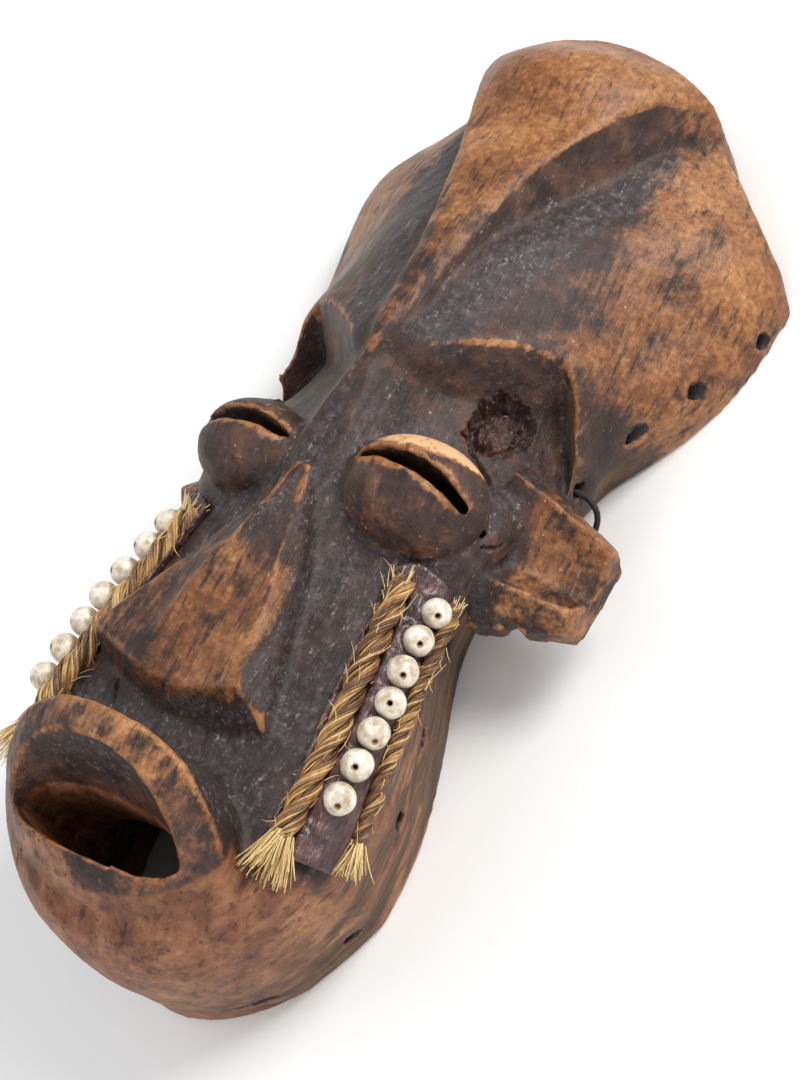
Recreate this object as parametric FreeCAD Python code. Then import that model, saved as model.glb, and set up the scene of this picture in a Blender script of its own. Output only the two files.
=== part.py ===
import FreeCAD, Part
import math
import os

os.makedirs("parts", exist_ok=True)
Vector = FreeCAD.Vector

# Carved wooden face mask with rope-and-bead cheek bands, lying on its open back.
# X runs across the face (+X is the wearer's left), Y from chin to crown, Z out of
# the face. Stations along Y are counted from the middle of the eyes' lower line and
# everything is moved to the middle of the length when it is written. Millimetres.

# ---- driving dimensions -------------------------------------------------------
chin_y = -152.0            # lowest point of the chin
crown_y = 221.0            # highest point of the forehead
rim_hole_d = 5.6           # drilled holes along the rim
rim_drop = 12.0            # height of the rim holes above the resting face
cord_d = 2.2               # hanging cord
bead_d = 10.4              # cheek beads
bead_bore_d = 1.8
inner_rope_d = 8.6         # plaited rope on the nose side of the beads
outer_rope_d = 6.0         # thinner rope on the ear side
pitch_thickness = 3.2      # bed of pitch that holds ropes and beads
eye_half = (24.8, 19.5, 19.5)   # half length, half height and bulge of an eye
eye_centre = (33.4, 21.5, 57.5)
left_eye_scale = 0.9       # the carver made the left eye a little smaller
eye_tilt = 12.0            # outer end of the eye lower than the inner, degrees
eye_slit = 5.4             # width of the slit between the lids
ear_hole_d = 5.0

mid_y = (chin_y + crown_y) / 2.0


def V(x, y, z):
    return Vector(x, y, z)


def spline(points):
    curve = Part.BSplineCurve()
    curve.interpolate([V(*p) for p in points])
    return curve.toShape()


def mirrored(shape):
    return shape.mirror(V(0, 0, 0), V(1, 0, 0))


def both(shape):
    return [shape, mirrored(shape)]


def half_to_full(half):
    """From the right rim over the crest to the left rim."""
    return half + [(-x, z) for x, z in reversed(half[:-1])]


def section(y, half, foot=-20.0):
    """Closed wire at station y: smooth over the front, straight along the foot."""
    outline = [(half[0][0], foot)] + half
    points = [(x, y, z) for x, z in half_to_full(outline)]
    front = spline(points)
    base = Part.LineSegment(V(*points[-1]), V(*points[0])).toShape()
    return Part.Wire([front, base])


def block(stations):
    return Part.makeLoft([section(y, half) for y, half in stations], True, False)


def prism(points, z0, z1, smooth=False):
    if smooth:
        path = [V(x, y, z0) for x, y in points]
        curve = Part.BSplineCurve()
        curve.interpolate(path, PeriodicFlag=True)
        wire = Part.Wire([curve.toShape()])
    else:
        path = [V(x, y, z0) for x, y in points]
        wire = Part.makePolygon(path + path[:1])
    return Part.Face(wire).extrude(V(0, 0, z1 - z0))


# ---- outside of the face, chin to temples --------------------------------------
# Heights are counted from the line of drilled rim holes, rim_drop above the resting
# face. Each station lists half a cross-section as (x, z), from the rim to the middle.
face_stations = [
    (-166, [(46, -12), (50, 5), (48, 20), (38, 30), (22, 35), (10, 36), (0, 36)]),
    (-152, [(50, -12), (56, 8), (55, 30), (46, 44), (28, 51), (12, 54), (0, 54)]),
    (-138, [(52, -12), (58, 8), (60, 32), (53, 51), (38, 61), (18, 64), (0, 64)]),
    (-122, [(52, -12), (59, 8), (63, 34), (59, 54), (46, 65), (24, 67), (0, 67)]),
    (-105, [(54, -12), (58.5, 8), (62.5, 34), (60, 54), (49, 64), (28, 66), (0, 66)]),
    (-75, [(55, -12), (58.3, 8), (61.5, 32), (59.5, 50), (49, 60), (28, 63), (0, 64)]),
    (-35, [(46, -12), (50.3, 8), (55, 32), (55.5, 46), (45.5, 57), (26, 62), (0, 64)]),
    (-5, [(37.5, -12), (42.8, 8), (49.5, 32), (52.5, 44), (42, 54), (22, 61), (0, 68)]),
    (20, [(38, -12), (45, 8), (57, 30), (58, 44), (43, 53), (20, 61), (0, 74)]),
    (42, [(45, -12), (53, 6), (60, 21), (54, 35), (40, 45), (20, 55), (0, 75)]),
    (62, [(54, -12), (58, 2), (58, 14), (51, 26), (38, 38), (20, 51), (0, 70)]),
    (84, [(62, -12), (63, 0), (61, 9), (52, 20), (38, 31), (20, 43), (0, 56)]),
    (100, [(64, -12), (62, -1), (57, 8), (48, 16), (34, 25), (18, 34), (0, 42)]),
]
# The jaw seen from the front at five heights: (z, how far the chin reaches, outline).
jaw_levels = [
    (-12, chin_y, [(74, 110), (72, 20), (64, -70), (55, -96), (50.5, -108), (45, -118.5),
                   (37, -130.5), (27, -140.5), (15, -148)]),
    (15, chin_y, [(76, 110), (74, 20), (68, -70), (61, -96), (56, -108), (50.5, -120),
                  (42.5, -132.5), (31, -142.5), (17, -149)]),
    (40, chin_y + 0.5, [(78, 110), (76, 20), (70, -70), (63, -97), (58, -109), (52, -121),
                  (43.5, -133), (32, -143), (17, -149)]),
    (58, chin_y + 6.0, [(78, 110), (76, 20), (70, -70), (61, -97), (56, -108), (49.5, -119),
                  (41, -129.5), (29.5, -138), (15.5, -144)]),
    (72, chin_y + 20.0, [(78, 110), (76, 20), (69, -66), (54, -92), (48, -101), (41, -109.5),
                  (33, -117.5), (23, -125), (12, -130.5)]),
]

# ---- outside of the forehead ---------------------------------------------------
forehead_stations = [
    (44, [(46, -12), (54, 0), (60.5, 15), (57, 29), (40, 45), (18, 57), (0, 68)]),
    (66, [(57, -12), (62, 2), (63.5, 20), (57, 36), (39, 51), (18, 63), (0, 70.5)]),
    (80, [(66, -12), (69, 2), (66, 21), (56, 39), (38, 54.5), (18, 64), (0, 68.5)]),
    (95, [(76.5, -12), (77, 2), (69, 20), (55, 38), (42, 49), (20, 60), (0, 65)]),
    (111, [(84.5, -12), (82, 2), (70.5, 16.5), (57, 30.5), (46, 41.5), (24, 57), (0, 62)]),
    (130, [(90, -12), (86.5, 0), (76, 13), (64, 24), (53, 34), (28, 50.5), (0, 55)]),
    (150, [(92.5, -12), (89.5, -2), (82, 10), (73.5, 18.5), (62, 26.5), (34, 40.5), (0, 46)]),
    (170, [(94, -12), (88.5, -4), (81.5, 5), (73, 13.5), (62, 20.5), (38, 33), (0, 39)]),
    (190, [(94, -12), (86, -8), (77, -2), (68, 5), (58, 12.5), (42, 24), (0, 30)]),
    (206, [(94, -12), (84, -9), (74, -5), (64, 1), (54, 8), (40, 15), (0, 20)]),
]
# The forehead seen from the front: straight cut-offs from the temples to the crown.
forehead_half = [(60, 40), (62, 60), (70, 75), (80, 95), (88, 115), (94, 138),
                 (93.5, 153), (86, 164.5), (75, 177), (62, 191), (52, 200), (38, 205)]

# ---- central lobe: (y, half width, edge height, half width and height at its foot) --
lobe_stations = [
    (50, 1.0, 62.0, 3.0, 50),
    (62, 2.6, 70.0, 4.5, 60),
    (71, 4.6, 70.5, 7.5, 60),
    (92, 7.2, 67.5, 12.0, 55),
    (111, 9.2, 65.2, 16.0, 50),
    (130, 12.4, 62.8, 22.0, 42),
    (150, 17.0, 59.8, 30.0, 30),
    (168, 24.0, 54.6, 38.0, 22),
    (182, 30.0, 49.5, 44.0, 15),
    (197, 38.5, 40.2, 50.0, 9),
    (209, 50.0, 25.0, 52.0, 3),
    (224, 60.0, 6.0, 58.0, -3),
]
lobe_crown = 3.4           # rise of the lobe's middle over its edges


def lobe_section(y, half, edge_z, foot_half, foot_z):
    rise = lobe_crown + max(0.0, y - 172.0) * 0.56
    top = Part.Arc(V(half, y, edge_z), V(0, y, edge_z + rise), V(-half, y, edge_z)).toShape()
    corners = [V(-half, y, edge_z), V(-foot_half, y, foot_z), V(-foot_half, y, -20),
               V(foot_half, y, -20), V(foot_half, y, foot_z), V(half, y, edge_z)]
    sides = [Part.LineSegment(a, b).toShape() for a, b in zip(corners, corners[1:])]
    return Part.Wire([top] + sides)


lobe_half = [(60, 40), (60, crown_y - 41.0), (53, crown_y - 20.0), (49, crown_y - 12.5),
             (37, crown_y - 6.5), (20, crown_y - 2.0)]


def outline_from_half(half, tip_y):
    """Closed outline from its right half, whose last points run to the centre line."""
    full = half + [(0, tip_y)] + [(-x, y) for x, y in reversed(half)]
    return full


# ---- eye hollows under the brow --------------------------------------------------
# The brow line as (x, y, z), from the root of the nose out over the eye to the ear.
brow_line = [(0, 57, 74), (9, 65, 70), (21, 74.5, 64.5), (34, 84, 58), (43, 89, 51),
             (50, 88, 43), (56, 79, 37), (60, 68, 30), (62.5, 58, 25), (64.5, 46, 23)]
brow_slope = 0.55          # how far the hollow's side leans back for each mm of height


def brow_curve(z):
    """The brow line carried up or down its leaning side to height z."""
    points = []
    for i, (x, y, ridge_z) in enumerate(brow_line):
        ax, ay, _ = brow_line[max(i - 1, 0)]
        bx, by, _ = brow_line[min(i + 1, len(brow_line) - 1)]
        run = math.hypot(bx - ax, by - ay)
        nx = -(by - ay) / run
        ny = (bx - ax) / run
        lean = brow_slope * (z - ridge_z)
        points.append((max(x + nx * lean, -40.0), y + ny * lean, z))
    return points


def eye_hollow():
    wires = []
    for z in (84.0, 16.0):
        edge = brow_curve(z)
        first = edge[0]
        last = edge[-1]
        wires.append(Part.Wire([
            spline(edge),
            Part.LineSegment(V(*last), V(last[0], 20, z)).toShape(),
            Part.LineSegment(V(last[0], 20, z), V(first[0], 20, z)).toShape(),
            Part.LineSegment(V(first[0], 20, z), V(*first)).toShape(),
        ]))
    return Part.makeLoft(wires, True, True)


# ---- hollow back: (y, half width, height) ------------------------------------------
hollow_stations = [
    (-137, 20, 26), (-126, 34, 46), (-105, 40, 60), (-75, 40, 58), (-35, 31, 56),
    (-5, 24, 55), (20, 27, 55), (45, 36, 52), (70, 48, 48), (95, 62, 44), (120, 73, 38),
    (145, 78, 30), (165, 66, 24), (184, 48, 18), (196, 28, 10),
]


def hollow_section(y, half, height):
    steps = 8
    points = []
    for i in range(steps + 1):
        angle = math.pi * i / steps
        points.append((half * math.cos(angle), y, height * math.sin(angle) ** 0.85 - rim_drop))
    front = spline([(half, y, -rim_drop - 6)] + points + [(-half, y, -rim_drop - 6)])
    base = Part.LineSegment(V(-half, y, -rim_drop - 6), V(half, y, -rim_drop - 6)).toShape()
    return Part.Wire([front, base])


# ---- nose: four rows of corners (x, y, z) from the root to the lip --------------------
# Each row runs from the right foot over both ridges and the groove between them.
nose_rows = [
    [(-8, 16, 54), (-6, 16, 67), (-2.4, 16, 74.5), (-1.2, 16, 74.3), (0, 16, 74.3),
     (1.2, 16, 74.3), (2.4, 16, 74.5), (5, 16, 68), (7, 16, 54)],
    [(-29, -24, 48), (-26, -22, 69), (-12.5, -26, 76.5), (-7, -26, 74), (-0.5, -26, 73),
     (6.5, -24, 74), (11.5, -24, 76), (18, -27, 69), (23, -27, 50)],
    [(-50, -55.5, 46), (-47.5, -56, 69.5), (-20, -64.5, 77.2), (-11, -65.5, 73), (-1, -65, 71.6),
     (10, -62, 73), (19, -60, 75.6), (29, -67.5, 67), (33, -67, 48)],
    [(-50, -60, 46), (-44, -62, 62), (-19, -70, 67), (-11, -73, 65), (0, -74.5, 64),
     (11, -73, 64.5), (19, -71, 65), (30, -71, 62), (33, -70, 48)],
]


def faceted_solid(rows):
    """Closed solid of triangles between rows of corners, with a fan over each end."""
    faces = []

    def triangle(a, b, c):
        faces.append(Part.Face(Part.makePolygon([V(*a), V(*b), V(*c), V(*a)])))
    for row, following in zip(rows, rows[1:]):
        count = len(row)
        for i in range(count):
            j = (i + 1) % count
            triangle(row[i], row[j], following[j])
            triangle(row[i], following[j], following[i])
    for end in (rows[0], rows[-1]):
        for i in range(1, len(end) - 1):
            triangle(end[0], end[i], end[i + 1])
    solid = Part.makeSolid(Part.makeShell(faces))
    if solid.Volume < 0:
        solid.reverse()
    return solid


# ---- mouth ---------------------------------------------------------------------------
lip_centre = (0.0, -80.0, 40.0)
lip_radius = 63.5           # the lips' edge lies on a ball of this radius
mouth_top_half = [(0, -84.5), (17, -85.5), (32, -91.5), (42, -102.5), (45.5, -116)]
mouth_low_half = [(37, -127), (20, -134), (0, -136.5)]
pout_levels = [(48.0, 1.1, 2.0), (68.0, 0.99, 0.0), (112.0, 0.98, 0.0)]   # z, spread, drop
opening_top_half = [(0, -95), (15, -96.5), (27, -101.5), (35.5, -109), (39, -116.5)]
opening_low_half = [(30, -121), (15, -123.5), (0, -124.5)]
throat_top_half = [(0, -105.5), (14, -106.5), (24, -109.5), (30, -113.5), (32.5, -117.5)]
throat_low_half = [(27, -121.5), (15, -124.5), (0, -125.5)]
throat_z = 70.0             # height where the mouth has narrowed to its throat


def ring(top_half, low_half, z, scale=1.0, drop=0.0):
    """Closed wire round the mouth at height z, sharp at the two corners."""
    cy = top_half[-1][1]

    def place(x, y):
        return (x * scale, cy + (y - cy) * scale - drop, z)
    corner = top_half[-1]
    top = [place(-x, y) for x, y in reversed(top_half)] + [place(x, y) for x, y in top_half[1:]]
    low = [place(*corner)] + [place(x, y) for x, y in low_half]
    low += [place(-x, y) for x, y in reversed(low_half[:-1])] + [place(-corner[0], corner[1])]
    return Part.Wire([spline(top), spline(low)])


# ---- ear: inner and outer cross-section, as (y, z), seen along X ------------------------
ear_inner_x = 52.0
ear_outer_x = 85.5         # how far the ears stand out, right and left
left_ear_x = 77.0
ear_inner = [(-3, 16), (-3.5, 24), (9, 41), (20, 33), (33, 36), (46, 44), (52, 34), (47, 16)]
ear_outer = [(6, 12), (5, 22), (10.5, 28), (18, 19), (26, 20), (34.5, 29), (37, 22), (34, 12)]


def ear_wire(x, points, lean):
    corners = [V(x + lean * (y - points[0][0]), y, z) for y, z in points]
    return Part.makePolygon(corners + corners[:1])


# ---- drilled holes: (x, y, z) where the drill met the outside, and its heading ----------
rim_holes = [
    (87.5, 138, -6, 8), (78.5, 108, 4, 18), (70, 84, 11, 26), (61.5, 57, 14, 4),
    (45, -10, 16, -8), (54.5, -42.5, 22, -10), (58.5, -69.5, 19, -6), (54, -106, 3, 12),
    (34, -138, 3, 52),
]
hidden_cord_hole = (52, 33, 0, 0)      # under the ear, where the hanging cord goes back in
ear_hole = (66, 1.5, 2)                # where the hole through the ear's lower side starts
eye_slit_path = [(11, 23.5), (24, 26.5), (38, 26), (50, 22.5), (58.5, 17)]


def drill(x, y, z, heading, diameter=rim_hole_d, length=36.0):
    out = V(math.cos(math.radians(heading)), math.sin(math.radians(heading)), 0)
    return Part.makeCylinder(diameter / 2.0, length, V(x, y, z) + out * 7, out * -1)


def slit_between_lids():
    """The eye slit: a thin curved slot, pointed at both corners, cut right through."""
    middle = len(eye_slit_path) // 2
    upper = []
    lower = []
    for i, (x, y) in enumerate(eye_slit_path):
        open_by = eye_slit / 2.0 * (1.0 - (abs(i - middle) / middle) ** 3)
        upper.append((x, y + open_by, 20))
        lower.append((x, y - open_by, 20))
    wire = Part.Wire([spline(upper), spline(lower)])
    return Part.Face(wire).extrude(V(0, 0, 70))


# ---- beads: (y, x, z) of each centre ---------------------------------------------------------
bead_centres = [(55.0, -10.5, 50.0), (55.5, -21.5, 53.0), (57.0, -33.0, 55.4), (58.8, -43.8, 56.6),
                (59.2, -54.6, 58.0), (59.8, -65.6, 59.2), (60.3, -77.0, 60.2)]
bead_axis = (0.62, -0.42, 0.66)

inner_rope_route = [(43.2, -5.5, 56.5), (45.2, -24, 58.6), (47.4, -43, 60.5), (49.6, -62, 61.8),
                    (51.0, -80, 63.8), (51.6, -96, 65.5)]
outer_rope_route = [(57.6, -5, 45.5), (58.4, -17, 46), (59.2, -29, 46.2), (60.8, -43.5, 47),
                    (62, -55, 47.2), (63, -64.5, 47.5), (64, -75, 47), (64.5, -87, 45.5)]
pitch_outline = [(40, -1), (48, 1), (58, -4), (66, -12), (68.5, -30), (71, -60), (73, -84),
                 (68, -95), (60, -98), (49, -99), (46, -85), (43.5, -60), (41, -30), (38.5, -10)]
pitch_way = (0.6, 0.02, 0.8)
pitch_foot_z = 41.0        # the bed ends here, above the rim holes
# The hanging cord: out under the ear, round into the hole behind it, and then slack
# across the hollow back to the same two holes on the other side.
cord_half = [(31, 33, 0.5), (41, 33.4, 0), (52, 33.6, -0.5), (60, 38, -3), (66, 46, -1.5),
             (68.5, 54, 5), (63.5, 57.3, 12), (52, 56.4, 14), (41, 55.8, 13.2), (29, 55.5, 5),
             (14, 55, -4.5)]
cord_route = cord_half + [(0, 54.2, -7.5)] + [(-x, y, z) for x, y, z in reversed(cord_half)]


def ball(centre, half_axes):
    matrix = FreeCAD.Matrix()
    matrix.scale(V(*half_axes))
    shape = Part.makeSphere(1.0).transformGeometry(matrix)
    shape.translate(V(*centre))
    return shape


def tube(route, diameter, label=None):
    """Round tube along straight runs joined by tangent arcs."""
    points = [V(*p) for p in route]
    edges = []
    start = points[0]
    radii = []
    for before, corner, after in zip(points, points[1:], points[2:]):
        into = (corner - before).normalize()
        out = (after - corner).normalize()
        turn = into.getAngle(out)
        reach = 0.45 * min(corner.distanceToPoint(before), corner.distanceToPoint(after))
        radius = reach / math.tan(turn / 2.0)
        radii.append(radius)
        first = corner - into * reach
        last = corner + out * reach
        bisector = (out - into).normalize()
        middle = corner + bisector * (radius / math.cos(turn / 2.0) - radius)
        edges.append(Part.LineSegment(start, first).toShape())
        edges.append(Part.Arc(first, middle, last).toShape())
        start = last
    edges.append(Part.LineSegment(start, points[-1]).toShape())
    path = Part.Wire(edges)
    axis = (points[1] - points[0]).normalize()
    profile = Part.Wire([Part.makeCircle(diameter / 2.0, points[0], axis)])
    shape = path.makePipeShell([profile], True, False)
    expected = math.pi * diameter ** 2 / 4.0 * path.Length
    if label:
        print(label, "length", round(path.Length, 1), "radii", [round(r, 1) for r in radii],
              "volume ratio", round(shape.Volume / expected, 4))
    return shape


def frayed_end(route, diameter, length, spread):
    """The rope's untwisted end, as a flare that carries on along its last run."""
    last = V(*route[-1])
    way = (last - V(*route[-2])).normalize()
    return Part.makeCone(diameter / 2.0 * 0.98, spread / 2.0, length, last - way * 2.0, way)


# ---- build --------------------------------------------------------------------------
def ear(outer_x):
    return Part.makeLoft([ear_wire(ear_inner_x, ear_inner, 0.0),
                          ear_wire(outer_x, ear_outer, 0.12)], True, True)


def smooth_outline(half, tip_y, z):
    """Closed outline: straight across the open end, one smooth curve round the tip."""
    points = [(x, y, z) for x, y in half] + [(0, tip_y, z)] + [(-x, y, z) for x, y in reversed(half)]
    across = Part.LineSegment(V(*points[-1]), V(*points[0])).toShape()
    return Part.Wire([spline(points), across])


def carved_front():
    jaw = Part.makeLoft([smooth_outline(half, tip, z) for z, tip, half in jaw_levels], True, False)
    face = block(face_stations).common(jaw)
    forehead = block(forehead_stations)
    forehead = forehead.common(prism(outline_from_half(forehead_half, 206), -rim_drop, 120))
    for hollow in both(eye_hollow()):
        forehead = forehead.cut(hollow)
    lobe = Part.makeLoft([lobe_section(*s) for s in lobe_stations], True, False)
    lobe = lobe.common(prism(outline_from_half(lobe_half, crown_y), -rim_drop, 120))
    eye = ball(eye_centre, eye_half)
    eye.rotate(V(*eye_centre), V(0, 1, 0), eye_tilt)
    left_eye = mirrored(eye)
    left_eye.scale(left_eye_scale, V(-eye_centre[0] + eye_half[0] / 2.0, *eye_centre[1:]))
    eyes = [eye, left_eye]
    nose = faceted_solid(nose_rows)
    pout = Part.makeLoft([ring(mouth_top_half, mouth_low_half, *level) for level in pout_levels],
                         True, True)
    pout = pout.common(Part.makeSphere(lip_radius, V(*lip_centre)))
    ears = [ear(ear_outer_x), mirrored(ear(left_ear_x))]
    return face.multiFuse([forehead, lobe, nose, pout] + eyes + ears)


def hollow_back():
    return Part.makeLoft([hollow_section(*s) for s in hollow_stations], True, False)


def mouth_opening():
    return Part.makeLoft([ring(throat_top_half, throat_low_half, 20.0),
                          ring(throat_top_half, throat_low_half, throat_z),
                          ring(opening_top_half, opening_low_half, 100.0),
                          ring(opening_top_half, opening_low_half, 115.0)], True, True)


def carved_body():
    tools = [drill(*hole) for hole in rim_holes + [hidden_cord_hole]]
    tools.append(slit_between_lids())
    tools.append(Part.makeCylinder(ear_hole_d / 2.0, 50, V(*ear_hole)))
    tools += [mirrored(tool) for tool in tools]
    return carved_front().cut([hollow_back(), mouth_opening()]).cut(tools)


# ---- pieces laid on the cheeks ---------------------------------------------------------
def bead(centre):
    axis = V(*bead_axis)
    start = V(*centre) - axis * bead_d
    bore = Part.makeCylinder(bead_bore_d / 2.0, bead_d * 2.5, start, axis)
    return Part.makeSphere(bead_d / 2.0, V(*centre)).cut(bore)


def rope(route, diameter, tuft_length, tuft_spread, label):
    """A plaited rope with its last end untwisted into a tuft."""
    return tube(route, diameter, label).fuse(frayed_end(route, diameter, tuft_length, tuft_spread))


def pitch_bed():
    """The layer of pitch under the band, following the cheek."""
    raised = block(face_stations)
    raised.translate(V(*pitch_way) * pitch_thickness)
    return raised.common(prism(pitch_outline, pitch_foot_z, 120, smooth=True))


def laid_on(shape, below):
    """What is left of a piece pressed onto the pieces below it."""
    return max(shape.cut(below).Solids, key=lambda solid: solid.Volume)


def save(shape, node):
    shape.translate(V(0, -mid_y, rim_drop))
    print(node, shape.isValid(), len(shape.Solids), round(shape.Volume, 1))
    shape.exportStep("parts/" + node + ".step")


body = carved_body()
inner_rope = rope(inner_rope_route, inner_rope_d, 17, 19, "inner rope")
outer_rope = rope(outer_rope_route, outer_rope_d, 12, 12, "outer rope")
hanging_cord = tube(cord_route, cord_d, "hanging cord")
save(laid_on(hanging_cord, [body]), "hanging_cord")
for side in ("right", "left"):
    parts = {"inner_rope": inner_rope, "outer_rope": outer_rope, "pitch_bed": pitch_bed()}
    for i, centre in enumerate(bead_centres):
        parts["bead_" + str(i + 1)] = bead(centre)
    if side == "left":
        parts = {name: mirrored(shape) for name, shape in parts.items()}
    done = [body]
    for name in sorted(parts, key=lambda name: (name == "pitch_bed", name)):
        shape = laid_on(parts[name], done)
        done.append(shape.copy())
        save(shape, side + "_" + name)
save(body, "mask_body")
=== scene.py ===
import math
import random

import bmesh
import bpy
from mathutils import Matrix, Vector, noise
from mathutils.bvhtree import BVHTree


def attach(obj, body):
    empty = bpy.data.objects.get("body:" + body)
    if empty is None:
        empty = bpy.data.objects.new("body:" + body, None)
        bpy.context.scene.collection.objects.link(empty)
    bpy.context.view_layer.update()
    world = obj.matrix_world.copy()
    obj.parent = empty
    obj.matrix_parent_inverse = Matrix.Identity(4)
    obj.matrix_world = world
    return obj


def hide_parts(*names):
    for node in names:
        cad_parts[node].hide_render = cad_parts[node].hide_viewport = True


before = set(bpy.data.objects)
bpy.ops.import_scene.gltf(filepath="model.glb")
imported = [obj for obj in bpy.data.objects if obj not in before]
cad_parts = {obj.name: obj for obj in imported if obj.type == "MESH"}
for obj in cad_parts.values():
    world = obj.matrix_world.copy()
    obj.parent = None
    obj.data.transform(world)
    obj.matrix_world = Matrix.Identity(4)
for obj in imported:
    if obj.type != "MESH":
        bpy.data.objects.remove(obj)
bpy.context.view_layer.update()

mm = 0.001
pointRadius = 0.001       # small, so that a line's box is not padded by its points
ropeGap = 0.8 * mm        # distance between the points read from a rope's line
fibreSteps = 8            # runs along one loose fibre


def clearSelection():
    if bpy.context.object and bpy.context.object.mode != "OBJECT":
        bpy.ops.object.mode_set(mode="OBJECT")
    bpy.ops.object.select_all(action="DESELECT")


def onlyThis(piece):
    clearSelection()
    piece.select_set(True)
    bpy.context.view_layer.objects.active = piece


def applyAll(piece):
    onlyThis(piece)
    for modifier in list(piece.modifiers):
        bpy.ops.object.modifier_apply(modifier=modifier.name)


def addCopy(nodeName, pieceName):
    piece = bpy.data.objects[nodeName].copy()
    piece.data = piece.data.copy()
    piece.name = pieceName
    bpy.context.scene.collection.objects.link(piece)
    return piece


viewSettings = {
    "place": (0.3285, -0.1875, 0.5308),
    "right": (0.81735, 0.44529, -0.36559),
    "up": (-0.25857, 0.85057, 0.45791),
    "back": (0.51486, -0.27974, 0.81035),
    "lens": 60.26,
}


def setCamera(settings):
    camera = bpy.data.objects.new("viewCamera", bpy.data.cameras.new("viewCamera"))
    bpy.context.scene.collection.objects.link(camera)
    camera.data.sensor_fit = "VERTICAL"
    camera.data.sensor_height = 36
    camera.data.lens = settings["lens"]
    turn = Matrix((settings["right"], settings["up"], settings["back"])).transposed().to_4x4()
    camera.matrix_world = Matrix.Translation(settings["place"]) @ turn
    camera.data.clip_start = 0.01
    bpy.context.scene.camera = camera


setCamera(viewSettings)


class Maths:
    def __init__(self, tree, socket):
        self.tree = tree
        self.socket = socket

    def node(self, kind, settings=None, **inputs):
        made = self.tree.nodes.new(kind)
        for name, value in (settings or {}).items():
            if name == "stops":
                ramp = made.color_ramp
                while len(ramp.elements) > 1:
                    ramp.elements.remove(ramp.elements[-1])
                for i, (place, colour) in enumerate(value):
                    element = ramp.elements[0] if i == 0 else ramp.elements.new(place)
                    element.position = place
                    element.color = (*colour, 1)
            else:
                setattr(made, name, value)
        for name, value in inputs.items():
            key = int(name[1:]) if name[0] == "i" and name[1:].isdigit() else name.replace("_", " ")
            entry = made.inputs[key]
            if isinstance(value, Maths):
                self.tree.links.new(value.socket, entry)
            else:
                entry.default_value = value
        return made

    def out(self, made, name=0):
        return Maths(self.tree, made.outputs[name])

    def maths(self, operation, first, second=0.0, clamp=False):
        return self.out(self.node("ShaderNodeMath", {"operation": operation, "use_clamp": clamp},
                                  i0=first, i1=second))

    def __add__(self, other):
        return self.maths("ADD", self, other)

    def __radd__(self, other):
        return self.maths("ADD", other, self)

    def __sub__(self, other):
        return self.maths("SUBTRACT", self, other)

    def __rsub__(self, other):
        return self.maths("SUBTRACT", other, self)

    def __mul__(self, other):
        return self.maths("MULTIPLY", self, other)

    def __rmul__(self, other):
        return self.maths("MULTIPLY", other, self)

    def __truediv__(self, other):
        return self.maths("DIVIDE", self, other)

    def clamp(self):
        return self.maths("ADD", self, 0.0, True)

    def above(self, low, high):
        made = self.node("ShaderNodeMapRange", {"clamp": True, "interpolation_type": "SMOOTHSTEP"},
                         Value=self, From_Min=low, From_Max=high)
        return self.out(made)

    def max(self, other):
        return self.maths("MAXIMUM", self, other)

    def min(self, other):
        return self.maths("MINIMUM", self, other)


class Finish:
    def __init__(self, name, look):
        self.material = bpy.data.materials.new(name)
        self.material.use_nodes = True
        tree = self.material.node_tree
        self.start = Maths(tree, None)
        self.shader = tree.nodes["Principled BSDF"]
        self.material.diffuse_color = (*look, 1)
        place = self.node("ShaderNodeTexCoord")
        self.place = self.start.out(place, "Object")

    def node(self, kind, settings=None, **inputs):
        return self.start.node(kind, settings, **inputs)

    def noise(self, scale, detail=4.0, roughness=0.55, stretch=(1, 1, 1), turn=(0, 0, 0), shift=(0, 0, 0)):
        where = self.node("ShaderNodeMapping", {}, Vector=self.place, Location=shift, Rotation=turn,
                          Scale=stretch)
        made = self.node("ShaderNodeTexNoise", {}, Vector=self.start.out(where), Scale=scale,
                         Detail=detail, Roughness=roughness)
        return self.start.out(made, "Fac")

    def cells(self, scale, feature="F1", stretch=(1, 1, 1), shift=(0, 0, 0)):
        where = self.node("ShaderNodeMapping", {}, Vector=self.place, Location=shift, Scale=stretch)
        made = self.node("ShaderNodeTexVoronoi", {"feature": feature}, Vector=self.start.out(where),
                         Scale=scale)
        return self.start.out(made, "Distance")

    def attribute(self, name):
        return self.start.out(self.node("ShaderNodeAttribute", {"attribute_name": name}), "Fac")

    def mix(self, first, second, amount):
        made = self.node("ShaderNodeMix", {"data_type": "RGBA"})
        for entry, value in ((made.inputs[0], amount), (made.inputs[6], first), (made.inputs[7], second)):
            if isinstance(value, Maths):
                self.start.tree.links.new(value.socket, entry)
            else:
                entry.default_value = (*value, 1) if isinstance(value, tuple) else value
        return self.start.out(made, 2)

    def ramp(self, value, stops):
        return self.start.out(self.node("ShaderNodeValToRGB", {"stops": stops}, Fac=value))

    def bump(self, height, distance, strength=1.0, normal=None):
        inputs = {"Height": height, "Distance": distance, "Strength": strength}
        if normal is not None:
            inputs["Normal"] = normal
        return self.start.out(self.node("ShaderNodeBump", {}, **inputs))

    def finish(self, colour, roughness, normal=None, **fixed):
        tree = self.start.tree
        for name, value in (("Base Color", colour), ("Roughness", roughness), ("Normal", normal)):
            if isinstance(value, Maths):
                tree.links.new(value.socket, self.shader.inputs[name])
            elif value is not None:
                self.shader.inputs[name].default_value = (*value, 1) if isinstance(value, tuple) else value
        for name, value in fixed.items():
            self.shader.inputs[name.replace("_", " ")].default_value = value
        return self.material


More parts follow.
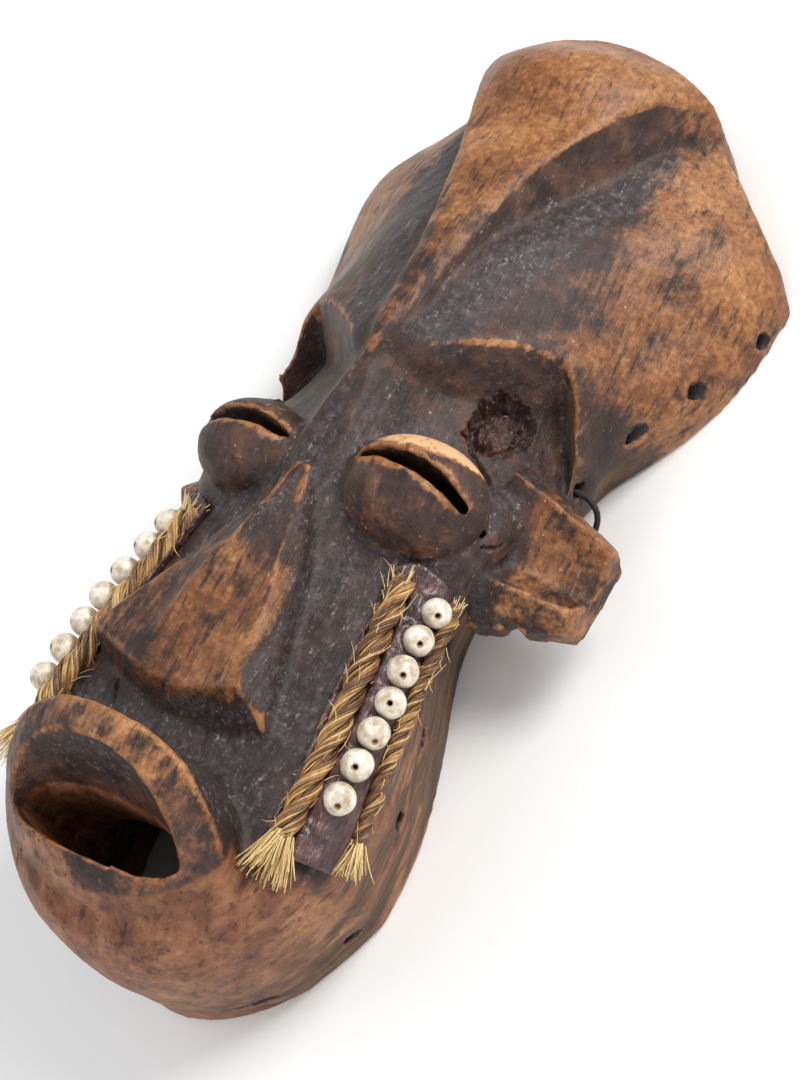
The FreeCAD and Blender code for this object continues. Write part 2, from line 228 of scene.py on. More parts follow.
cordSettings = {
    "thickness": 2.2 * mm,
    "length": 0.2541,
    "half": [(31, -1.5, 12.5), (41, -1.1, 12), (52, -0.9, 11.5), (60, 3.5, 9), (66, 11.5, 10.5),
             (68.5, 19.5, 17), (63.5, 22.8, 24), (52, 21.9, 26), (41, 21.3, 25.2), (29, 21, 17),
             (14, 20.5, 7.5)],
    "middle": (0, 19.7, 4.5),
    "knot": 5.4 * mm,
}


def addLine(name, points, thickness, rings=4):
    curve = bpy.data.curves.new(name, "CURVE")
    curve.dimensions = "3D"
    curve.resolution_u = 12
    line = curve.splines.new("NURBS")
    line.points.add(len(points) - 1)
    for point, place in zip(line.points, points):
        point.co = (*place, 1)
        point.radius = pointRadius
    line.order_u = 3
    line.use_endpoint_u = True
    curve.bevel_depth = thickness / 2 / pointRadius
    curve.bevel_resolution = rings
    curve.use_fill_caps = True
    piece = bpy.data.objects.new(name, curve)
    bpy.context.scene.collection.objects.link(piece)
    return piece


cordRoute = cordSettings["half"] + [cordSettings["middle"]]
cordRoute += [(-x, y, z) for x, y, z in reversed(cordSettings["half"])]
cordRoute = [(x * mm, y * mm, z * mm) for x, y, z in cordRoute]
hangingCord = addLine("hangingCord", cordRoute, cordSettings["thickness"])
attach(hangingCord, "root")
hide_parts("hanging_cord")


def addKnot(name, place, size):
    clearSelection()
    bpy.ops.mesh.primitive_torus_add(location=place, rotation=(0.3, 1.3, 0.2), major_segments=24,
                                     minor_segments=12, major_radius=size * 0.27,
                                     minor_radius=size * 0.22)
    knot = bpy.context.object
    knot.name = name
    bpy.ops.object.transform_apply(location=True, rotation=True, scale=True)
    bpy.ops.object.shade_smooth()
    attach(knot, "root")
    return knot


cordKnots = [addKnot("leftCordKnot", cordRoute[-1], cordSettings["knot"]),
             addKnot("rightCordKnot", cordRoute[0], cordSettings["knot"])]
print("cord done")


woodSettings = {
    "voxel": 1.3 * mm,
    "knotPlace": Vector((38.0, 25.5, 50.5)),
    "knotSize": (8.5, 12.0),
    "cracks": [
        # points in mm, width, depth
        ([(33, 16.5, 56.5), (36.5, 12.5, 57), (41, 9.5, 56), (46, 5, 55), (51, -1, 54)], 1.3, 2.6),
        ([(43, 33, 46), (47, 37, 42), (50, 40, 40)], 1.2, 2.2),
        ([(57.0, -18.2, 57.6), (59.1, -15.8, 53.5), (59.8, -12.2, 49.8)], 1.3, 2.2),
        ([(-31.4, -104, 74.7), (-29.5, -108, 75), (-28.8, -111, 75.2)], 0.9, 1.2),
        ([(-33, -169, 72), (-29, -164.8, 78), (-26, -161, 84)], 0.9, 1.4),
        ([(62.5, 36, 30), (62, 30, 27), (61, 24, 26)], 1.0, 1.8),
    ],
    # each rim hole's place and its heading in degrees
    "holes": [(87.5, 103.5, 6, 8), (78.5, 73.5, 16, 18), (70, 49.5, 23, 26), (61.5, 22.5, 26, 4),
              (45, -44.5, 28, -8), (54.5, -77, 34, -10), (58.5, -104, 31, -6), (54, -140.5, 15, 12),
              (34, -172.5, 15, 52)],
    "holeReach": 3.1,
    # how far hands have rubbed each place back to bare wood, and how sooty the face is
    "rub": {"upperLid": 1.05, "lowerLid": 0.3, "leftEye": 0.35, "temple": 0.66, "lip": 0.48,
            "nose": 0.66, "edge": 0.85, "ear": 0.52, "jawSide": 0.75, "leftNose": 0.5},
    "faceSoot": 0.6,
    "mouth": Vector((0, -114.5, 52)),
    # centre and half size of each eye
    "eyes": [((33.4, -13, 69.5), (25, 19.7, 20)), ((-32, -13, 69.5), (23.5, 18.5, 18.5))],
    # station along the lobe, half width, height
    "lobe": [(15, 1.5, 72), (28, 2.6, 82), (36, 4.6, 82), (58, 7.2, 79.5), (76, 9.2, 77), (95, 12.4, 75),
             (115, 17, 72), (133, 24, 66.5), (147, 30, 61.5), (162, 38.5, 52), (174, 50, 37), (189, 58, 18)],
}


def lineDistance(point, line):
    best = 1e9
    for a, b in zip(line, line[1:]):
        a, b = Vector(a), Vector(b)
        along = max(0.0, min(1.0, (point - a).dot(b - a) / (b - a).length_squared))
        best = min(best, (point - a - (b - a) * along).length)
    return best


def between(value, table, column):
    for first, second in zip(table, table[1:]):
        if value <= second[0]:
            share = max(0.0, (value - first[0]) / (second[0] - first[0]))
            return first[column] + (second[column] - first[column]) * share
    return table[-1][column]


def step(value, low, high):
    share = max(0.0, min(1.0, (value - low) / (high - low)))
    return share * share * (3 - 2 * share)


def carveWood(settings):
    body = addCopy("mask_body", "carvedBody")
    onlyThis(body)
    bpy.ops.object.mode_set(mode="EDIT")
    bpy.ops.mesh.select_all(action="SELECT")
    bpy.ops.mesh.remove_doubles(threshold=0.00001)
    bpy.ops.object.mode_set(mode="OBJECT")
    body.data.materials.clear()
    remesh = body.modifiers.new("even", "REMESH")
    remesh.mode = "VOXEL"
    remesh.voxel_size = settings["voxel"]
    soften = body.modifiers.new("handRubbed", "SMOOTH")
    soften.factor = 0.5
    soften.iterations = 4
    applyAll(body)

    # finer mesh round the knot and the cracks
    mesh = bmesh.new()
    mesh.from_mesh(body.data)
    knot = settings["knotPlace"]

    def nearDetail(point):
        if (point - knot).length < 17:
            return True
        return any(lineDistance(point, line) < 3.0 for line, width, depth in settings["cracks"])
    edges = [e for e in mesh.edges if nearDetail((e.verts[0].co + e.verts[1].co) / (2 * mm))]
    bmesh.ops.subdivide_edges(mesh, edges=edges, cuts=2, use_grid_fill=True, smooth=0.0)
    bmesh.ops.triangulate(mesh, faces=[f for f in mesh.faces if len(f.verts) > 4])
    mesh.normal_update()
    moves = []
    for v in mesh.verts:
        p = v.co / mm
        n = v.normal
        back = step(-n.z, 0.05, 0.35) * step(60 - p.z, 0, 10)
        rest = step(p.z, 0.3, 3.0)
        depth = 0.34 * noise.noise(p / 17) + 0.16 * noise.noise(p / 6.0)
        depth += 0.12 * noise.noise(Vector((p.x / 1.6, p.y / 15, p.z / 1.6)))
        facet = noise.voronoi(Vector((p.x / 11, p.y / 16, p.z / 11)))[0]
        depth += back * 1.5 * (facet[0] - 0.35) - (1 - back) * 0.35 * (0.5 - facet[0])
        away = p - knot
        if away.length < 18:
            size = Vector((away.x / settings["knotSize"][0], away.y / settings["knotSize"][1])).length
            wobble = size + 0.18 * noise.noise(p / 3.2) + 0.1 * noise.noise(p / 1.3)
            rim = 1 - step(abs(wobble - 0.78), 0.05, 0.3)
            inside = 1 - step(wobble, 0.55, 0.95)
            depth -= 4.6 * rim * (1.0 if away.x < 3 or away.y > 4 else 0.55) + 2.4 * inside
            depth += inside * 1.3 * noise.noise(p / 1.7)
        for line, width, deep in settings["cracks"]:
            if (p - Vector(line[0])).length < 34:
                reach = lineDistance(p, line) + 0.45 * noise.noise(p / 1.5)
                depth -= deep * (1 - step(reach, 0.1, width))
        moves.append(n * (depth * rest * mm))
    for v, move in zip(mesh.verts, moves):
        v.co += move
    mesh.to_mesh(body.data)
    mesh.free()
    bpy.ops.object.shade_smooth()
    return body


def smoothed(piece, rounds):
    copy = piece.copy()
    copy.data = piece.data.copy()
    bpy.context.scene.collection.objects.link(copy)
    soften = copy.modifiers.new("soften", "SMOOTH")
    soften.factor = 0.5
    soften.iterations = rounds
    applyAll(copy)
    places = [v.co.copy() for v in copy.data.vertices]
    bpy.data.objects.remove(copy)
    return places


def inHole(p, settings):
    for x, y, z, heading in settings["holes"]:
        way = Vector((math.cos(math.radians(heading)), math.sin(math.radians(heading)), 0))
        away = Vector((abs(p.x), p.y, p.z)) - Vector((x, y, z))
        if away.length < 20 and (away - way * away.dot(way)).length < settings["holeReach"]:
            return 1.0
    return 0.0


def noseFaceSide(p):
    return step(p.z, 60, 66) * step(p.y + 108, 0, 6) * step(-44 - p.y, 0, 20) * step(p.x + 52, 0, 5)


def measureWear(body, settings):
    near = smoothed(body, 8)
    far = smoothed(body, 60)
    rub = settings["rub"]
    layers = {name: [] for name in ("hollow", "worn", "soot", "leftSideShade", "chin", "inside", "pale")}
    for i, v in enumerate(body.data.vertices):
        p = v.co / mm
        n = v.normal
        bulge = (v.co - near[i]).dot(n) / mm * 2.2 + (v.co - far[i]).dot(n) / mm * 0.55
        edge = step(bulge, 0.12, 1.3)
        hollow = step(-bulge, 0.1, 1.5)
        bored = inHole(p, settings)
        hollow = max(hollow, bored)
        inside = step(-n.z, 0.0, 0.3) * step(62 - p.z, 0, 12) if p.z > 2 else 0.0
        lobeHalf = between(p.y, settings["lobe"], 1)
        top = between(p.y, settings["lobe"], 2)
        lobe = step(lobeHalf + 0.5 - abs(p.x), -0.8, 1.5) * step(p.z, top - 4, top - 1) * step(p.y, 18, 40)
        valley = 1 - step(abs(abs(p.x) - lobeHalf - 7 - 0.09 * p.y), 3, 13)
        valley *= step(p.y, 26, 46) * (1 - lobe)
        eyes = min(Vector([(p[k] - centre[k]) / half[k] for k in range(3)]).length
                   for centre, half in settings["eyes"])
        eye = (1 - step(eyes, 0.97, 1.07)) * step(p.z, 58, 64)
        upperLid = eye * step(p.y + 13 - 0.12 * p.x, 4, 8)
        lip = step((p - settings["mouth"]).length, 60.5, 62.3) * step(p.z, 80, 86)
        lip *= step(-112 - p.y, -6, 2)
        noseFace = step(p.z, 80, 84) * step(p.y + 112, 0, 6)
        noseFace *= step(-30 - p.y, 0, 40) * step(22 - abs(p.x), 0, 6)
        chin = step(-p.y, 128, 146) * (1 - step(p.z, 84, 90)) * (1 - 0.7 * hollow)
        lidGlow = upperLid * rub["upperLid"] + (eye - upperLid) * rub["lowerLid"]
        lidGlow *= 1 if p.x > 0 else rub["leftEye"]
        sides = step(p.y, 30, 60) * step(abs(p.x), 26, 55) * rub["temple"]
        ear = step(abs(p.x), 57, 64) * step(p.y, -36, -30) * step(22 - p.y, 0, 6)
        jawSide = step(p.x, 50, 56) * step(-40 - p.y, 0, 30) * step(64 - p.z, 0, 8)
        leftNose = step(-6 - p.x, 0, 6) * noseFaceSide(p)
        lobeShare = 0.5 + 0.42 * step(p.y, 60, 150)
        worn = max(lobe * lobeShare, lidGlow, lip * rub["lip"], noseFace * rub["nose"],
                   edge * rub["edge"], sides, ear * rub["ear"], jawSide * rub["jawSide"],
                   leftNose * rub["leftNose"])
        face = step(-p.y, -34, -10) * (1 - step(-p.y, 128, 146))
        for other in (edge, eye, lip, noseFace, ear, leftNose, jawSide):
            face *= 1 - other
        soot = max(valley, face * settings["faceSoot"], hollow)
        chin = max(chin, jawSide) * (1 - bored)
        layers["hollow"].append(hollow)
        layers["worn"].append(worn * (1 - inside) * (1 - bored))
        layers["soot"].append(soot * (1 - inside))
        # painted shade: faces turned towards -x, the left side away from the light, are marked for a darker
        # olive tone
        layers["leftSideShade"].append(step(-n.x, 0.25, 0.75) * (1 - inside))
        layers["chin"].append(chin * (1 - inside))
        layers["inside"].append(inside)
        # painted highlight mask: the upper lid of the right eye only
        layers["pale"].append(upperLid if p.x > 0 else 0.0)
    for name, values in layers.items():
        body.data.attributes.new(name, "FLOAT", "POINT").data.foreach_set("value", values)


carvedBody = carveWood(woodSettings)
measureWear(carvedBody, woodSettings)
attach(carvedBody, "root")
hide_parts("mask_body")
print("carved body done", len(carvedBody.data.polygons))


def woodFinish():
    wood = Finish("oldCarvedWood", (0.1, 0.05, 0.03))
    hollow, worn = wood.attribute("hollow"), wood.attribute("worn")
    soot, leftSideShade, chin = wood.attribute("soot"), wood.attribute("leftSideShade"), wood.attribute("chin")
    inside, pale = wood.attribute("inside"), wood.attribute("pale")
    broad = wood.noise(26, 5, 0.6)
    mid = wood.noise(75, 6, 0.65, shift=(0.3, 0.1, 0.7))
    fine = wood.noise(330, 5, 0.7)
    grain = wood.noise(210, 5, 0.65, stretch=(1, 0.12, 1))
    strokes = wood.noise(420, 4, 0.7, stretch=(1, 0.16, 1), turn=(0, 0, 0.5))
    specks = wood.noise(620, 3, 0.8, shift=(0.5, 0.2, 0.1))
    # dark skin of the wood: brown black with plum and slate patches
    skin = wood.ramp(mid, [(0.3, (0.016, 0.009, 0.007)), (0.48, (0.042, 0.021, 0.016)),
                           (0.6, (0.085, 0.041, 0.027)), (0.75, (0.15, 0.072, 0.042))])
    slate = wood.ramp(fine, [(0.32, (0.016, 0.012, 0.012)), (0.52, (0.043, 0.033, 0.035)),
                             (0.72, (0.12, 0.096, 0.096))])
    warm = wood.ramp(fine * 0.5 + broad * 0.5, [(0.3, (0.07, 0.022, 0.009)), (0.45, (0.19, 0.07, 0.022)),
                                                (0.55, (0.33, 0.14, 0.048)), (0.7, (0.56, 0.31, 0.14))])
    reddish = wood.ramp(grain * 0.5 + mid * 0.5, [(0.32, (0.05, 0.018, 0.01)), (0.48, (0.19, 0.07, 0.03)),
                                                  (0.66, (0.36, 0.165, 0.075))])
    sootAmount = (soot * 1.1 + (broad - 0.5) * 0.8).above(0.25, 0.8)
    colour = wood.mix(skin, slate, sootAmount)
    chinAmount = (chin + (broad - 0.5) * 0.9).above(0.3, 0.75)
    colour = wood.mix(colour, reddish, chinAmount * 0.92)
    rub = (worn * 1.15 + (mid - 0.5) * 1.3 + (strokes - 0.5) * 0.7 + (broad - 0.5) * 0.5).above(0.42, 0.82)
    colour = wood.mix(colour, warm, rub * 0.95)
    # painted highlight: a bright orange patch on the right upper lid, plus a few random bright specks from
    # the noise
    lidHighlight = (pale + (fine - 0.5) * 1.2 + (broad - 0.5)).above(0.3, 0.9)
    colour = wood.mix(colour, (0.86, 0.53, 0.28), lidHighlight * 0.85)
    # dry grey dust where hands don't rub, and scratched pale specks
    dust = (strokes * 0.6 + specks * 0.6).above(0.66, 0.8) * (0.35 + soot * 0.5 + hollow * 0.3)
    colour = wood.mix(colour, (0.32, 0.27, 0.25), dust * (1 - rub * 0.7))
    chips = wood.cells(190, shift=(0.2, 0.4, 0.1)).above(0.1, 0.05) * mid.above(0.54, 0.62)
    colour = wood.mix(colour, (0.52, 0.44, 0.35), chips * 0.55)
    # painted shade: the left-facing faces get a darker olive-brown, less where rubbed
    shade = wood.ramp(mid, [(0.35, (0.062, 0.05, 0.032)), (0.65, (0.16, 0.135, 0.09))])
    colour = wood.mix(colour, shade, leftSideShade * 0.5 * (1 - rub * 0.8))
    streaks = grain.above(0.42, 0.3)
    colour = wood.mix(colour, (0.012, 0.007, 0.006), (streaks + strokes.above(0.44, 0.34)).clamp() * 0.62)
    # painted shade: creases and the insides of the rim holes go near black
    colour = wood.mix(colour, (0.008, 0.006, 0.006), hollow.above(0.35, 1.0) * 0.85)
    raw = wood.ramp(grain, [(0.3, (0.05, 0.027, 0.015)), (0.5, (0.13, 0.075, 0.04)),
                            (0.7, (0.2, 0.12, 0.065))])
    colour = wood.mix(colour, raw, inside * 0.95)
    rough = 0.52 + dust * 0.3 - rub * 0.14 + (fine - 0.5) * 0.3 + inside * 0.3
    normal = wood.bump(grain * 0.5 + strokes * 0.35 + fine * 0.3, 0.0011, 0.75)
    normal = wood.bump(mid + specks * 0.25, 0.0016, 0.5, normal)
    return wood.finish(colour, rough.clamp(), normal, Specular_IOR_Level=0.34)


carvedBody.data.materials.append(woodFinish())


bandSettings = {
    "beads": [(55.0, -45.0, 62.0), (55.5, -56.0, 65.0), (57.0, -67.5, 67.4), (58.8, -78.3, 68.6),
              (59.2, -89.1, 70.0), (59.8, -100.1, 71.2), (60.3, -111.5, 72.2)],
    "beadWidth": 10.4 * mm,
    "beadAxis": (0.62, -0.42, 0.66),
    "innerRope": {
        "route": [(43.2, -40, 68.5), (45.2, -58.5, 70.6), (47.4, -77.5, 72.5), (49.6, -96.5, 73.8),
                  (51, -114.5, 75.8), (51.6, -130.5, 77.5)],
        "width": 8.6 * mm, "lay": 31 * mm, "fineLay": 24 * mm, "fibres": 9, "fibreWidth": 1.15 * mm,
        "tuft": 110, "tuftLength": 17 * mm, "tuftSpread": 0.42, "topTuft": 34, "fuzz": 70,
    },
    "outerRope": {
        "route": [(57.6, -39.5, 57.5), (58.4, -51.5, 58), (59.2, -63.7, 58.2), (60.8, -78, 59),
                  (62, -89.5, 59.2), (63, -99, 59.5), (64, -109.5, 59), (64.5, -121.5, 57.5)],
        "width": 5.6 * mm, "lay": 15 * mm, "fineLay": 12 * mm, "fibres": 7, "fibreWidth": 0.9 * mm,
        "tuft": 70, "tuftLength": 13 * mm, "tuftSpread": 0.45, "topTuft": 16, "fuzz": 60,
    },
    "pitchVoxel": 0.8 * mm,
}


def towards(points, side):
    return [Vector((x * side, y, z)) * mm for x, y, z in points]


def addBead(name, place, settings, side, chance):
    clearSelection()
    bpy.ops.mesh.primitive_uv_sphere_add(segments=32, ring_count=20, radius=settings["beadWidth"] / 2)
    bead = bpy.context.object
    bead.name = name
    x, y, z = settings["beadAxis"]
    axis = Vector((x * side, y, z)) + Vector([chance.uniform(-0.2, 0.2) for i in range(3)])
    turn = axis.to_track_quat("Z", "Y").to_matrix()
    stretch = Vector([chance.uniform(0.95, 1.0) for i in range(3)])
    shift = Vector([chance.uniform(0, 50) for i in range(3)])
    stained = Vector((-0.62 * side, 0.5, -0.35)).normalized()
    mesh = bmesh.new()
    mesh.from_mesh(bead.data)
    poles = [v for v in mesh.verts if math.hypot(v.co.x, v.co.y) < 0.4 * mm]
    bmesh.ops.delete(mesh, geom=poles, context="VERTS")
    bmesh.ops.bridge_loops(mesh, edges=[e for e in mesh.edges if e.is_boundary])
    stains = []
    for v in mesh.verts:
        across = math.hypot(v.co.x, v.co.y)
        lump = 1 + 0.035 * noise.noise(v.co / (4 * mm) + shift)
        lump -= 0.02 * abs(noise.noise(v.co / (1.6 * mm) + shift))
        v.co = turn @ (v.co * stretch * lump)
        stain = step(v.co.normalized().dot(stained), 0.1, 0.9) + 0.9 * (1 - step(across / mm, 0.9, 1.5))
        stains.append(min(1.0, stain))
        v.co += place
    mesh.to_mesh(bead.data)
    mesh.free()
    bead.data.attributes.new("stain", "FLOAT", "POINT").data.foreach_set("value", stains)
    bpy.ops.object.shade_smooth()
    return bead


def readLine(points, gap):
    guide = addLine("guide", points, 0.0)
    mesh = bpy.data.meshes.new_from_object(guide)
    places = [v.co.copy() for v in mesh.vertices]
    bpy.data.objects.remove(guide)
    even = [places[0]]
    left = gap
    for a, b in zip(places, places[1:]):
        run = (b - a).length
        while left <= run:
            even.append(a.lerp(b, left / run))
            left += gap
        left -= run
    return even


def turnedFrames(path):
    made = []
    side = Vector((0.1, 0.2, 1))
    for i, place in enumerate(path):
        way = (path[min(i + 1, len(path) - 1)] - path[max(i - 1, 0)]).normalized()
        side = (side - way * side.dot(way)).normalized()
        made.append((place, side, way.cross(side)))
    return made


class Fibres:
    def __init__(self, ground):
        self.ground = ground
        self.verts = []
        self.faces = []
        self.tones = []

    def add(self, path, width, tone, sides=5, taper=0.0):
        start = len(self.verts)
        last = len(path) - 1
        for i, (place, a, b) in enumerate(turnedFrames(path)):
            size = width / 2 * (1 - taper * (i / last) ** 2)
            for k in range(sides):
                angle = 2 * math.pi * k / sides
                self.verts.append(place + (a * math.cos(angle) + b * math.sin(angle)) * size)
                self.tones.append(tone)
        for i in range(last):
            for k in range(sides):
                one, two = start + i * sides + k, start + i * sides + (k + 1) % sides
                self.faces.append((one, two, two + sides, one + sides))
        self.faces.append(tuple(start + k for k in reversed(range(sides))))
        self.faces.append(tuple(start + last * sides + k for k in range(sides)))

    def rested(self, place, lift):
        near, normal, index, away = self.ground.find_nearest(place)
        height = (place - near).dot(normal)
        return place + normal * (lift - height) if height < lift and away < 0.02 else place

    def loose(self, start, way, length, width, chance, bend=0.3):
        turn = Vector([chance.uniform(-1, 1) for i in range(3)]) * bend
        path = []
        place = start.copy()
        for i in range(fibreSteps + 1):
            path.append(self.rested(place, width * 0.6))
            way = (way + turn * (1.0 / fibreSteps)).normalized()
            place = path[-1] + way * (length / fibreSteps)
        self.add(path, width, chance.uniform(0.55, 1.3), 4, 0.6)

    def piece(self, name):
        mesh = bpy.data.meshes.new(name)
        mesh.from_pydata(self.verts, [], self.faces)
        mesh.attributes.new("tone", "FLOAT", "POINT").data.foreach_set("value", self.tones)
        piece = bpy.data.objects.new(name, mesh)
        bpy.context.scene.collection.objects.link(piece)
        onlyThis(piece)
        bpy.ops.object.shade_smooth()
        return piece


def addRope(name, settings, side, ground, chance):
    path = readLine(towards(settings["route"], side), ropeGap)
    fibres = Fibres(ground)
    frames = turnedFrames(path)
    radius = settings["width"] / 2
    for ply in range(3):
        for fibre in range(settings["fibres"]):
            tone = chance.uniform(-0.1, 0.65)
            line = []
            shift = Vector((chance.uniform(0, 90), 0, 0))
            for i, (place, a, b) in enumerate(frames):
                run = i * ropeGap
                turn = 2 * math.pi * (run / settings["lay"] + ply / 3) * side
                fine = 2 * math.pi * (run / settings["fineLay"] + fibre / settings["fibres"]) * side
                wander = noise.noise(place / (7 * mm) + shift)
                out = radius * 0.50
                own = radius * 0.5 - settings["fibreWidth"] / 2 * (1 - 0.7 * wander)
                line.append(place + (a * math.cos(turn) + b * math.sin(turn)) * out
                            + (a * math.cos(fine + 0.25 * wander) + b * math.sin(fine + 0.25 * wander)) * own)
            fibres.add(line, settings["fibreWidth"] * chance.uniform(0.8, 1.1), tone)
    for end, inner, count, share in ((path[-1], path[-4], settings["tuft"], 1.0),
                                     (path[0], path[3], settings["topTuft"], 0.45)):
        way = (end - inner).normalized()
        side1 = way.orthogonal().normalized()
        side2 = way.cross(side1)
        for i in range(count):
            angle = chance.uniform(0, 2 * math.pi)
            out = math.sqrt(chance.random())
            across = side1 * math.cos(angle) + side2 * math.sin(angle)
            start = end - way * 2.5 * mm + across * radius * 0.8 * out
            heading = (way + across * settings["tuftSpread"] * out * chance.uniform(0.7, 1.3)).normalized()
            length = settings["tuftLength"] * share * chance.uniform(0.55, 1.0)
            fibres.loose(start, heading, length, 0.72 * mm * chance.uniform(0.5, 1.1), chance)
    for i in range(settings["fuzz"]):
        place, a, b = frames[chance.randrange(len(frames))]
        angle = chance.uniform(0, 2 * math.pi)
        across = a * math.cos(angle) + b * math.sin(angle)
        along = a.cross(b) * chance.choice((-1, 1))
        fibres.loose(place + across * radius * 0.9, (across * 0.5 + along).normalized(),
                     chance.uniform(3, 8) * mm, 0.3 * mm, chance, 0.9)
    return fibres.piece(name)


def addPitch(name, nodeName, settings, beads):
    bed = addCopy(nodeName, name)
    onlyThis(bed)
    bpy.ops.object.mode_set(mode="EDIT")
    bpy.ops.mesh.select_all(action="SELECT")
    bpy.ops.mesh.remove_doubles(threshold=0.00001)
    bpy.ops.object.mode_set(mode="OBJECT")
    bed.data.materials.clear()
    remesh = bed.modifiers.new("even", "REMESH")
    remesh.mode = "VOXEL"
    remesh.voxel_size = settings["pitchVoxel"]
    soften = bed.modifiers.new("melted", "SMOOTH")
    soften.factor = 0.5
    soften.iterations = 3
    applyAll(bed)
    mesh = bmesh.new()
    mesh.from_mesh(bed.data)
    mesh.normal_update()
    outward = Vector((0.6 if "right" in name else -0.6, 0, 0.8))
    moves = []
    for v in mesh.verts:
        p = v.co / mm
        facing = step(v.normal.dot(outward), 0.1, 0.6)
        near = min((v.co - bead).length for bead in beads) / mm
        lump = 0.55 * noise.noise(p / 5) + 0.35 * noise.noise(p / 2.2)
        lump += 0.35 * noise.noise(Vector((p.x / 1.1, p.y / 6, p.z / 1.1)))
        moves.append(v.normal * (facing * (lump + 0.5 + 1.0 * (1 - step(near, 5.5, 8.5)))) * mm)
    for v, move in zip(mesh.verts, moves):
        v.co += move
    mesh.to_mesh(bed.data)
    mesh.free()
    bpy.ops.object.shade_smooth()
    return bed


def addBands(settings, body):
    ground = BVHTree.FromObject(body, bpy.context.evaluated_depsgraph_get())
    made = {"beads": [], "raffia_rope": [], "pitch": []}
    for sideName, side in (("right", 1), ("left", -1)):
        chance = random.Random(11 + side)
        places = towards(settings["beads"], side)
        for i, place in enumerate(places):
            bead = addBead(sideName + "Bead" + str(i + 1), place, settings, side, chance)
            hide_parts(sideName + "_bead_" + str(i + 1))
            made["beads"].append(bead)
        for ropeName in ("inner", "outer"):
            rope = addRope(sideName + ropeName.capitalize() + "Rope", settings[ropeName + "Rope"], side,
                           ground, chance)
            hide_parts(sideName + "_" + ropeName + "_rope")
            made["raffia_rope"].append(rope)
        bed = addPitch(sideName + "PitchBed", sideName + "_pitch_bed", settings, places)
        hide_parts(sideName + "_pitch_bed")
        made["pitch"].append(bed)
    for slotName, pieces in made.items():
        for piece in pieces:
            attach(piece, "root")
            print(piece.name, len(piece.data.polygons))
    return made


bands = addBands(bandSettings, carvedBody)
print("bands done")


def beadFinish():
    glass = Finish("wornBead", (0.8, 0.77, 0.7))
    stain = glass.attribute("stain")
    cloud = glass.noise(260, 4, 0.6)
    fine = glass.noise(900, 3, 0.6)
    colour = glass.ramp(cloud, [(0.35, (0.42, 0.33, 0.22)), (0.5, (0.66, 0.59, 0.48)),
                                (0.65, (0.84, 0.79, 0.7))])
    amount = (stain * 1.2 + (cloud - 0.5) * 2.0 + (fine - 0.5) * 0.8).above(0.22, 0.85)
    colour = glass.mix(colour, (0.25, 0.125, 0.045), amount * 0.88)
    rough = 0.28 + amount * 0.3 + (fine - 0.5) * 0.2
    return glass.finish(colour, rough.clamp(), glass.bump(cloud + fine * 0.3, 0.0006, 0.5), Coat_Weight=0.15)


def ropeFinish():
    straw = Finish("raffiaStraw", (0.55, 0.38, 0.16))
    tone = straw.attribute("tone")
    broad = straw.noise(90, 4, 0.6)
    fine = straw.noise(1100, 4, 0.65, stretch=(1, 0.15, 1))
    value = tone * 0.55 + broad * 0.45 + (fine - 0.5) * 0.5
    colour = straw.ramp(value, [(0.22, (0.09, 0.04, 0.018)), (0.4, (0.3, 0.15, 0.05)),
                                (0.55, (0.52, 0.32, 0.11)), (0.8, (0.74, 0.56, 0.27))])
    return straw.finish(colour, 0.5, straw.bump(fine, 0.0003, 0.6), Coat_Weight=0.08)


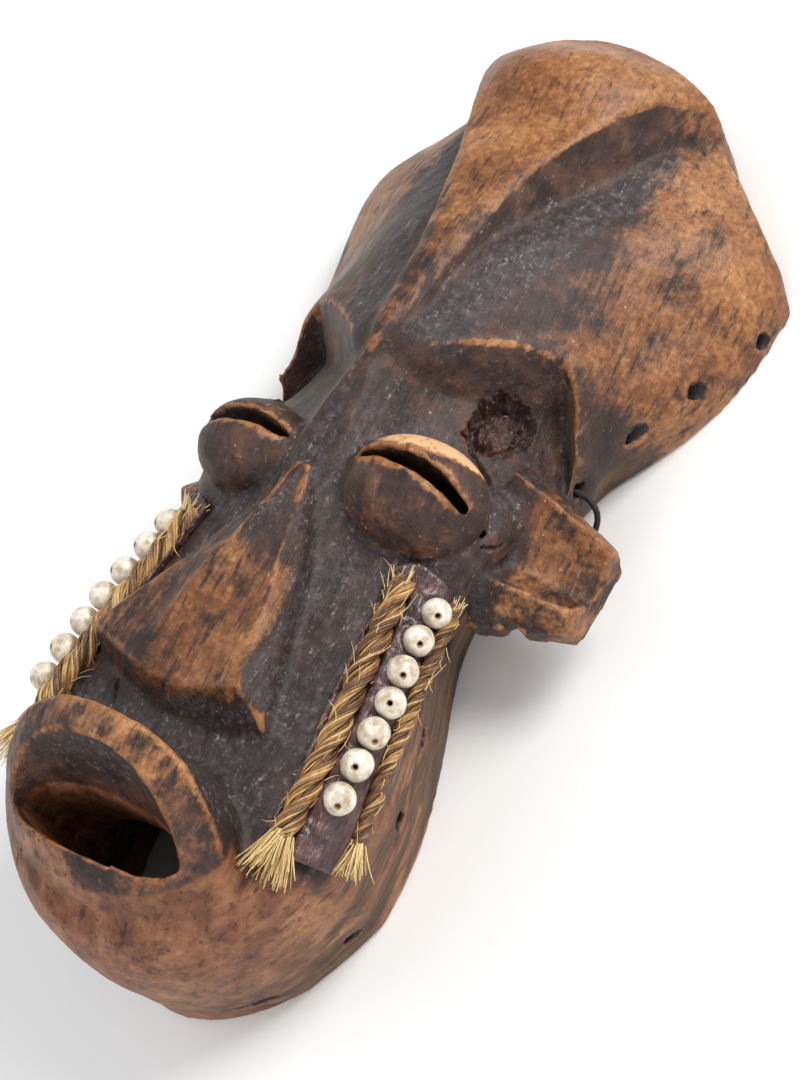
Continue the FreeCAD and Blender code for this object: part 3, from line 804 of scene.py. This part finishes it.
def pitchFinish():
    pitch = Finish("driedPitch", (0.08, 0.035, 0.035))
    broad = pitch.noise(130, 5, 0.6)
    strands = pitch.noise(900, 4, 0.6, stretch=(1, 0.16, 1))
    stops = [(0.35, (0.022, 0.01, 0.011)), (0.5, (0.062, 0.027, 0.028)), (0.66, (0.15, 0.07, 0.062))]
    colour = pitch.ramp(broad * 0.6 + strands * 0.4, stops)
    colour = pitch.mix(colour, (0.4, 0.25, 0.12), strands.above(0.6, 0.72) * broad.above(0.45, 0.6) * 0.6)
    rough = 0.34 + (strands - 0.5) * 0.4
    return pitch.finish(colour, rough.clamp(), pitch.bump(strands + broad, 0.0011, 0.8), Coat_Weight=0.25)


for slotName, look in (("beads", beadFinish()), ("raffia_rope", ropeFinish()), ("pitch", pitchFinish())):
    for piece in bands[slotName]:
        piece.data.materials.append(look)


def cordFinish():
    thread = Finish("blackCord", (0.015, 0.014, 0.014))
    weave = thread.noise(1500, 3, 0.6)
    colour = thread.ramp(weave, [(0.3, (0.006, 0.006, 0.007)), (0.7, (0.03, 0.028, 0.03))])
    return thread.finish(colour, 0.75, thread.bump(weave, 0.0003, 0.8))


blackCord = cordFinish()
for piece in [hangingCord] + cordKnots:
    piece.data.materials.append(blackCord)


lights = [
    # name, place, aim, size, power, tint
    ("window", (0.75, 0.95, 1.15), (0, 0, 0.05), 0.7, 26, (1.0, 0.98, 0.95)),
    ("softFill", (-0.9, -0.3, 1.1), (0, 0, 0.05), 1.2, 6, (0.9, 0.95, 1.0)),
    ("front", (0.5, -1.1, 0.8), (0, -0.05, 0.05), 0.8, 7, (1.0, 0.98, 0.95)),
]


def setStage():
    clearSelection()
    bpy.ops.mesh.primitive_plane_add(size=6, location=(0, 0, -0.0004))
    floor = bpy.context.object
    floor.name = "floor"
    paper = Finish("palePaper", (0.9, 0.9, 0.9))
    floor.data.materials.append(paper.finish((0.82, 0.82, 0.825), 0.85))
    bpy.context.scene.view_settings.view_transform = "Standard"
    world = bpy.data.worlds.new("paleRoom")
    bpy.context.scene.world = world
    world.use_nodes = True
    world.node_tree.nodes["Background"].inputs[0].default_value = (1.0, 1.0, 1.0, 1)
    world.node_tree.nodes["Background"].inputs[1].default_value = 0.5
    for name, place, aim, size, power, tint in lights:
        lamp = bpy.data.lights.new(name, "AREA")
        lamp.size = size
        lamp.energy = power
        lamp.color = tint
        holder = bpy.data.objects.new(name, lamp)
        holder.location = place
        holder.rotation_euler = (Vector(aim) - Vector(place)).to_track_quat("-Z", "Y").to_euler()
        bpy.context.scene.collection.objects.link(holder)


setStage()
